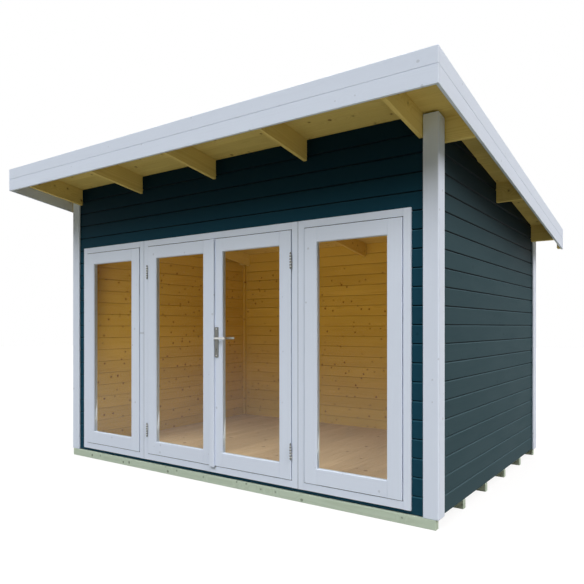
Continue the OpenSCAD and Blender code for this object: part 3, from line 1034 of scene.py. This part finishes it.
def make_plate_template():
    """A handle plate seen from the front: rounded corners, eased face, keyhole."""
    low, high = box("handle_plates")
    width, height = high.x - low.x, high.z - low.z
    plate = cuboid("plate", (-width / 2, -PLATE, -height / 2), (width / 2, 0, height / 2))
    edit(plate, "EDGE", running(DEEP))
    bpy.ops.mesh.bevel(offset=0.005, segments=4, affect="EDGES")
    done()
    edit(plate, "FACE", facing(DEEP, -1))
    bpy.ops.mesh.inset(thickness=0.0016, depth=0)
    bpy.ops.transform.translate(value=(0, -0.0001, 0))
    done()
    edit(plate, "EDGE", lambda edge: all(abs(vert.co.y + PLATE) < 0.00001
                                         for vert in edge.verts))
    bpy.ops.transform.translate(value=(0, 0.0014, 0))
    done()
    key_z = -height / 2 + KEY_HEIGHT
    hole = turned("hole", [(0.0052, -0.012), (0.0052, 0.012)], 20)
    hole.data.transform(Matrix.Translation((0, 0, key_z)) @ TO_FRONT)
    slot = cuboid("slot", (-0.0022, -0.012, key_z - 0.017), (0.0022, 0.012, key_z))
    cut_out(plate, [hole, slot])
    discard(hole, slot)
    return plate, key_z


def make_screw():
    """A countersunk oval screw head with a cross slot, its face towards -Y."""
    screw = turned("screw", [(0.0050, -0.0002), (0.0048, 0.0006), (0.0036, 0.0014),
                             (0.0015, 0.0018)], 20)
    slots = [cuboid("slot", (-a, -b, 0.0009), (a, b, 0.003))
             for a, b in ((0.0028, 0.0005), (0.0005, 0.0028))]
    cut_out(screw, slots)
    discard(*slots)
    screw.data.transform(TO_FRONT)
    return screw


def make_handle_plates():
    low, high = box("handle_plates")
    plate, key_z = make_plate_template()
    screw = make_screw()
    height = high.z - low.z
    middle = ((low.x + high.x) / 2, 0, (low.z + high.z) / 2)
    handle_x, _, handle_z = joint_place("handle_turn")
    leaf_low, leaf_high = box("right_door_leaf")
    collar = turned("collar", [(0.0135, 0.0), (0.0135, 0.0016), (0.0122, 0.0028),
                               (0.0102, 0.0030)], 28)
    collar.data.transform(TO_FRONT)
    plug = turned("plug", [(0.0046, 0.0), (0.0046, 0.0035)], 20)
    plug.data.transform(TO_FRONT)
    parts, plugs, screws = [], [], []
    for face_y, mirror in ((leaf_low.y, 1), (leaf_high.y, -1)):
        seat = Matrix.Translation((middle[0], face_y, middle[2])) @ Matrix.Diagonal(
            (1, mirror, 1, 1))
        parts.append(moved(plate, "plate", seat))
        for z in (height / 2 - SCREW_INSET, -height / 2 + SCREW_INSET):
            screws.append(moved(screw, "screw", seat @ Matrix.Translation((0, -PLATE, z))))
        parts.append(moved(collar, "collar", seat @ Matrix.Translation(
            (handle_x - middle[0], -0.0078, handle_z - middle[2]))))
        plugs.append(moved(plug, "plug", seat @ Matrix.Translation((0, -0.0015, key_z))))
    discard(plate, screw, collar, plug)
    for part in parts + screws:
        smooth(part, 30)
    gather("handle_plate_pair", parts, [STEEL], "right_door", ["handle_plates"])
    gather("plate_screws", screws, [BRIGHT_STEEL], "right_door")
    gather("lock_cylinder", plugs, [LOCK], "right_door")


def lever_side(axis_x, axis_z, root_y, plane_y, reach):
    """Neck, bend and grip of one lever, from the leaf's face out to its rounded end."""
    r, bend = 0.0088, 0.013
    sign = 1 if plane_y > root_y else -1
    bpy.ops.object.select_all(action="DESELECT")
    bpy.ops.mesh.primitive_circle_add(vertices=24, radius=r, fill_type="NGON",
                                      location=(axis_x, root_y, axis_z),
                                      rotation=(math.pi / 2, 0, 0))
    lever = bpy.context.object
    bpy.ops.object.transform_apply(location=True, rotation=True, scale=True)
    edit(lever, "FACE", everything)
    bpy.ops.mesh.extrude_region_move(TRANSFORM_OT_translate={
        "value": (0, plane_y - root_y - sign * bend, 0)})
    steps = 8
    for k in range(steps):
        a0, a1 = k * math.pi / 2 / steps, (k + 1) * math.pi / 2 / steps
        step = (bend * (math.cos(a0) - math.cos(a1)),
                sign * bend * (math.sin(a1) - math.sin(a0)), 0)
        bpy.ops.mesh.extrude_region_move(TRANSFORM_OT_translate={"value": step})
        shape = bmesh.from_edit_mesh(lever.data)
        chosen = [v for v in shape.verts if v.select]
        centre = sum((v.co for v in chosen), Vector()) / len(chosen)
        bmesh.ops.rotate(shape, verts=chosen, cent=centre,
                         matrix=Matrix.Rotation(-sign * math.pi / 2 / steps, 3, "Z"))
        bmesh.update_edit_mesh(lever.data)
    grip = reach - bend - r * 0.6
    for share, scale in ((0.35, (1, 0.92, 1.04)), (0.65, (1, 0.92, 1.02))):
        bpy.ops.mesh.extrude_region_move(TRANSFORM_OT_translate={"value": (grip * share, 0, 0)})
        bpy.ops.transform.resize(value=scale)
    for step, scale in ((0.0030, 0.90), (0.0016, 0.80), (0.0008, 0.62)):
        bpy.ops.mesh.extrude_region_move(TRANSFORM_OT_translate={"value": (step, 0, 0)})
        bpy.ops.transform.resize(value=(1, scale, scale))
    close_up()
    return smooth(lever, 40)


def make_handle():
    low, high = box("door_handle")
    leaf_low, leaf_high = box("right_door_leaf")
    x, _, z = joint_place("handle_turn")
    reach = high.x - x
    r = 0.009
    parts = [lever_side(x, z, leaf_low.y, low.y + r, reach),
             lever_side(x, z, leaf_high.y, high.y - r, reach)]
    gather("door_lever", parts, [BRIGHT_STEEL], "door_handle", ["door_handle"])


# ---- the house ----

make_beams()
make_floor()
rafter_bars = make_rafters()
lookout_bars = make_lookouts()
make_walls(rafter_bars, lookout_bars)
gather("lookout_bars", lookout_bars, [SPRUCE], "house", ["lookouts"])
make_roof_boards()
make_felt()
make_fascias()
make_covers()
make_corner_strips()
make_glazing()
make_shade_seals()
make_hinges()
make_handle_plates()
make_handle()
discard(EASED, SOFT, POST, RAIL, LOG, BEADS, FELT_BAR, LUG)

# ---- camera, floor and light ----


def make_camera():
    data = bpy.data.cameras.new("camera")
    data.lens = 35.5
    data.sensor_width = 36
    data.shift_y = 0.0596
    camera = bpy.data.objects.new("camera", data)
    camera.location = (3.073, -4.442, 1.219)
    camera.rotation_euler = (math.pi / 2, 0, math.radians(35.08))
    bpy.context.collection.objects.link(camera)
    bpy.context.scene.camera = camera


def seen_directly(finish):
    """1 for rays from the camera, a mirror or glass, and 0 for those that light things."""
    rays = [finish.node("LightPath", None, None, out)
            for out in ("Is Camera Ray", "Is Glossy Ray", "Is Transmission Ray")]
    return rays[0].math("MAXIMUM", rays[1]).math("MAXIMUM", rays[2])


def make_floor_plane():
    bpy.ops.object.select_all(action="DESELECT")
    bpy.ops.mesh.primitive_plane_add(size=60, location=(0, 0, 0))
    ground = bpy.context.object
    ground.name = "ground"
    pale = Finish("ground_white")
    white = pale.node("BsdfDiffuse", None, {"Color": (0.18, 0.18, 0.18, 1)})
    glow = pale.node("Emission", None, {"Color": (1, 1, 1, 1), "Strength": 0.84})
    bright = pale.node("AddShader", None, {0: white, 1: glow})
    dull = pale.node("BsdfDiffuse", None, {"Color": (0.235, 0.235, 0.185, 1)})
    ground.data.materials.append(pale.surface(
        pale.node("MixShader", None, {0: seen_directly(pale), 1: dull, 2: bright})))


class Sky(Finish):
    """The world's light, built like a finish."""

    def __init__(self):
        world = bpy.data.worlds.new("sky")
        bpy.context.scene.world = world
        world.use_nodes = True
        self.tree = world.node_tree
        self.tree.nodes.clear()


def make_sky(strength):
    sky = Sky()
    light = sky.node("Background", None, {"Color": (0.94, 0.97, 1.0, 1), "Strength": strength})
    white = sky.node("Background", None, {"Color": (1, 1, 1, 1), "Strength": 1.0})
    sky.node("OutputWorld", None,
             {"Surface": sky.node("MixShader", None, {0: seen_directly(sky), 1: light, 2: white})})


def add_lamp(name, data, power, tint, place, towards):
    """Places a lamp that neither the camera nor a mirror sees."""
    data.energy = power
    data.color = tint
    lamp = bpy.data.objects.new(name, data)
    lamp.location = place
    lamp.rotation_euler = towards
    lamp.visible_camera = False
    lamp.visible_glossy = False
    bpy.context.collection.objects.link(lamp)


def soft_light(name, source, strength, spread, tint=(1.0, 1.0, 1.0)):
    """Even light from the side that the vector source points to, soft over spread degrees."""
    data = bpy.data.lights.new(name, "SUN")
    data.angle = math.radians(spread)
    add_lamp(name, data, strength, tint, Vector(source).normalized() * 12,
             Vector(source).to_track_quat("Z", "Y").to_euler())


def soft_panel(name, place, target, size, power, tint):
    """A soft panel that shines from place towards target."""
    data = bpy.data.lights.new(name, "AREA")
    data.shape = "RECTANGLE"
    data.size, data.size_y = size
    add_lamp(name, data, power, tint, place,
             (Vector(target) - Vector(place)).to_track_quat("-Z", "Y").to_euler())


make_camera()
make_floor_plane()
make_sky(0.07)
soft_light("overhead", (0, 0, 1), 0.7, 60)
soft_light("from_front", (-0.15, -1, 0.95), 2.05, 35)
soft_light("from_right", (1, -0.08, 0.95), 2.6, 35, (1.0, 0.955, 0.92))
soft_light("from_behind", (-0.7, 1, 0.9), 1.4, 50)
soft_panel("through_windows", (0, FRONT + 0.12, 1.1), (0, 1.2, 0.7), (3.0, 1.5), 15,
           (1.0, 0.92, 0.80))
bpy.context.scene.view_settings.view_transform = "Standard"
